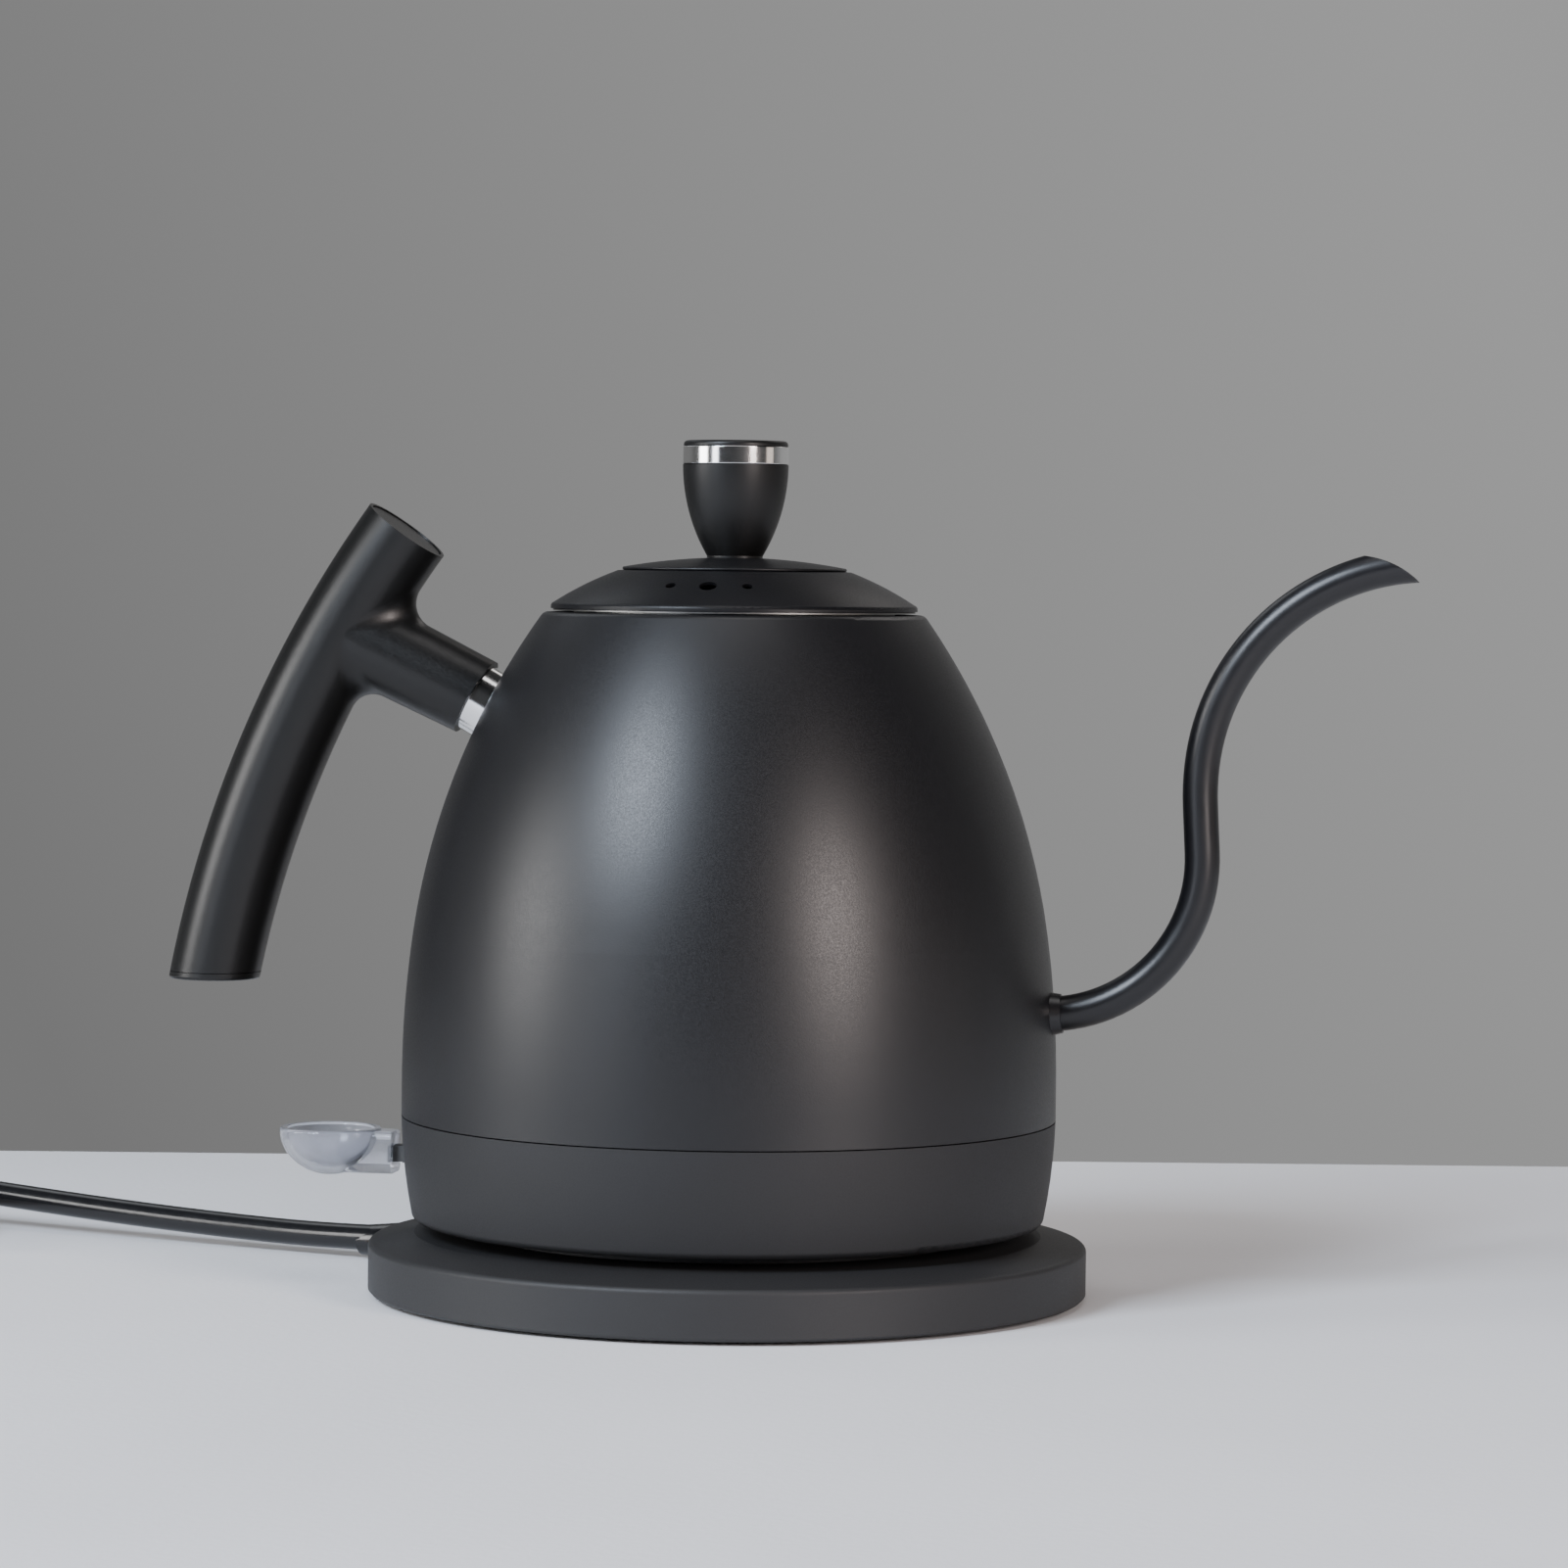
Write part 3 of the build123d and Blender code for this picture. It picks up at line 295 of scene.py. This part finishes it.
neutral_colour = coating(
    "neutral_insulation", (0.03, 0.11, 0.42), (0.04, 0.13, 0.48), (0.3, 0.4),
    grain=900.0, relief=0.000005,
)
earth_colour = coating(
    "earth_insulation", (0.22, 0.42, 0.04), (0.3, 0.5, 0.05), (0.3, 0.4),
    grain=900.0, relief=0.000005,
)
stainless = metal(
    "stainless", (0.55, 0.55, 0.54), (0.62, 0.62, 0.61), (0.22, 0.36),
    stretch=(1.0, 1.0, 20.0),
)
# painted shade: stainless steel made much darker, for the plate's rim in the seam under the lid
lid_steel_painted_shade = metal(
    "lid_steel_painted_shade", (0.19, 0.19, 0.185), (0.24, 0.24, 0.235), (0.3, 0.42),
    stretch=(1.0, 1.0, 20.0),
)
chrome = metal(
    "bright_trim", (0.78, 0.78, 0.78), (0.86, 0.86, 0.86), (0.09, 0.17),
    stretch=(1.0, 1.0, 25.0),
)
aluminium = metal("aluminium", (0.58, 0.58, 0.59), (0.66, 0.66, 0.67), (0.32, 0.45))
brass = metal("brass", (0.62, 0.45, 0.18), (0.72, 0.54, 0.24), (0.2, 0.32))
copper = metal("bimetal", (0.55, 0.31, 0.2), (0.64, 0.38, 0.25), (0.25, 0.35))
clear = clear_plastic("clear_plastic", (0.64, 0.65, 0.70), (0.74, 0.75, 0.80))

FINISHES = {
    powder: ["kettle_body"],
    powder_lid_painted_shade: ["lid_shell", "lid_cap_disc"],
    spout_coat: ["spout_tube", "spout_collar"],
    grip_plastic: ["handle_grip", "handle_cap_lower", "handle_cap_upper"],
    knob_plastic: ["knob_body", "knob_cap"],
    collar_plastic: ["lower_collar", "bottom_cover"],
    base_plastic: ["base_top_shell", "base_bottom_plate"],
    inner_plastic: [
        "base_connector", "connector_shutter", "kettle_socket", "control_unit", "switch_rocker",
        "cord_clamp",
    ],
    rubber: ["anti_slip_ring"],
    silicone: ["lid_seal", "steam_tube_seal"],
    lead_sheath: ["cord_gland", "cord_tie", "plug_body"],
    live_colour: ["live_wire"],
    neutral_colour: ["neutral_wire"],
    earth_colour: ["earth_wire"],
    stainless: [
        "vessel_floor", "floor_standoffs", "steam_tube", "handle_washer", "handle_screw",
        "knob_washer", "knob_screw", "base_screws", "cover_screws", "clamp_screws", "switch_pin",
        "shutter_spring",
    ],
    lid_steel_painted_shade: ["lid_inner_plate"],
    chrome: ["handle_ferrule", "knob_ring"],
    aluminium: ["heat_diffuser", "heating_element", "handle_core"],
    brass: [
        "base_ring_contacts", "base_earth_pin", "socket_contacts", "handle_insert", "plug_pins",
    ],
    copper: ["dry_boil_bimetal", "steam_bimetal"],
    clear: ["switch_lever", "indicator_lamp"],
}


def paint(piece, material):
    """The piece gets this material and no other."""
    piece.data.materials.clear()
    piece.data.materials.append(material)


for material, names in FINISHES.items():
    for name in names:
        paint(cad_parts[name], material)
paint(lead, lead_sheath)

# ---- stage ---------------------------------------------------------------------------------
TABLE_EDGE = 0.273
TABLE_FRONT = 1.6
TABLE_HALF_WIDTH = 1.4
TABLE_DROP = 0.0001
WALL_DARK, WALL_LIGHT = 0.185, 0.36
WALL_SLANT = 0.45
ROOM_SHADE = 0.18
CEILING_SHADE = 0.12
LIGHT_AIM = (0.0, 0.0, 0.09)


def make_table():
    """A plain pale table top that ends a little way behind the kettle."""
    places = ((-1, TABLE_FRONT), (1, TABLE_FRONT), (1, -TABLE_EDGE), (-1, -TABLE_EDGE))
    corners = [ACROSS * side * TABLE_HALF_WIDTH + BACK * depth for side, depth in places]
    mesh = bpy.data.meshes.new("table")
    mesh.from_pydata([tuple(c) for c in corners], [], [(0, 1, 2, 3)])
    table = bpy.data.objects.new("table", mesh)
    bpy.context.scene.collection.objects.link(table)
    table.location.z = -TABLE_DROP
    cloth = coating(
        "pale_cloth", (0.80, 0.80, 0.82), (0.86, 0.86, 0.88), (0.8, 0.9),
        grain=400.0, relief=0.0001, specular=0.2, patch=5.0,
    )
    paint(table, cloth)


def graded(tree, direction, along, start, end, low, high):
    """A value that runs from low to high as the direction turns towards another."""
    dot = tree.nodes.new("ShaderNodeVectorMath")
    dot.operation = "DOT_PRODUCT"
    dot.inputs[1].default_value = tuple(along)
    shade = tree.nodes.new("ShaderNodeMapRange")
    shade.inputs["From Min"].default_value = start
    shade.inputs["From Max"].default_value = end
    shade.inputs["To Min"].default_value = low
    shade.inputs["To Max"].default_value = high
    tree.links.new(direction, dot.inputs[0])
    tree.links.new(dot.outputs["Value"], shade.inputs["Value"])
    return shade.outputs["Result"]


def make_surroundings():
    """A plain grey wall behind, darker to the left and below, in a room dim above and in front."""
    world = bpy.data.worlds.new("surroundings")
    bpy.context.scene.world = world
    world.use_nodes = True
    tree = world.node_tree
    background = tree.nodes["Background"]
    direction = tree.nodes.new("ShaderNodeTexCoord").outputs["Generated"]
    slope = ACROSS + UP * WALL_SLANT
    wall = graded(tree, direction, slope, start=-0.17, end=0.17, low=WALL_DARK, high=WALL_LIGHT)
    room = graded(tree, direction, BACK, start=-0.5, end=0.1, low=1.0, high=ROOM_SHADE)
    above = graded(tree, direction, UP, start=0.15, end=0.7, low=1.0, high=CEILING_SHADE)
    light = wall
    for dimming in (room, above):
        product = tree.nodes.new("ShaderNodeMath")
        product.operation = "MULTIPLY"
        tree.links.new(light, product.inputs[0])
        tree.links.new(dimming, product.inputs[1])
        light = product.outputs["Value"]
    tree.links.new(light, background.inputs["Color"])
    background.inputs["Strength"].default_value = 1.0


def softbox(name, turn, elevation, distance, wide, high, power, colour):
    """A rectangular light. turn is degrees to the right of the camera, seen from the kettle."""
    data = bpy.data.lights.new(name, "AREA")
    data.shape = "RECTANGLE"
    data.size = wide
    data.size_y = high
    data.energy = power
    data.color = colour
    light = bpy.data.objects.new(name, data)
    side, rise = math.radians(turn), math.radians(elevation)
    away = (BACK * math.cos(side) + ACROSS * math.sin(side)) * math.cos(rise) + UP * math.sin(rise)
    light.location = Vector(LIGHT_AIM) + away * distance
    light.rotation_euler = away.to_track_quat("Z", "Y").to_euler()
    bpy.context.scene.collection.objects.link(light)


make_table()
make_surroundings()
# name, turn, elevation, distance, width, height, watts, colour
softbox("window_left_high", -43.0, 36.0, 2.2, 0.7, 0.9, 62.0, (0.78, 0.87, 1.0))
softbox("window_left_low", -76.0, 12.0, 2.2, 0.8, 0.8, 24.0, (1.0, 0.99, 0.98))
softbox("window_right", 38.0, 16.0, 2.2, 0.5, 0.8, 33.0, (1.0, 0.88, 0.84))
softbox("card_left", -46.0, 3.0, 2.2, 0.5, 0.25, 2.4, (0.9, 0.92, 1.0))
softbox("card_right", 80.0, 3.0, 2.2, 0.7, 0.3, 0.7, (1.0, 0.86, 0.76))
softbox("back_left", -142.0, 42.0, 2.4, 0.9, 0.9, 4.0, (0.92, 0.96, 1.0))
softbox("back_right", 150.0, 38.0, 2.4, 0.7, 0.9, 3.0, (1.0, 0.95, 0.92))
softbox("ceiling", 10.0, 82.0, 2.4, 1.2, 1.2, 12.0, (1.0, 0.98, 0.98))
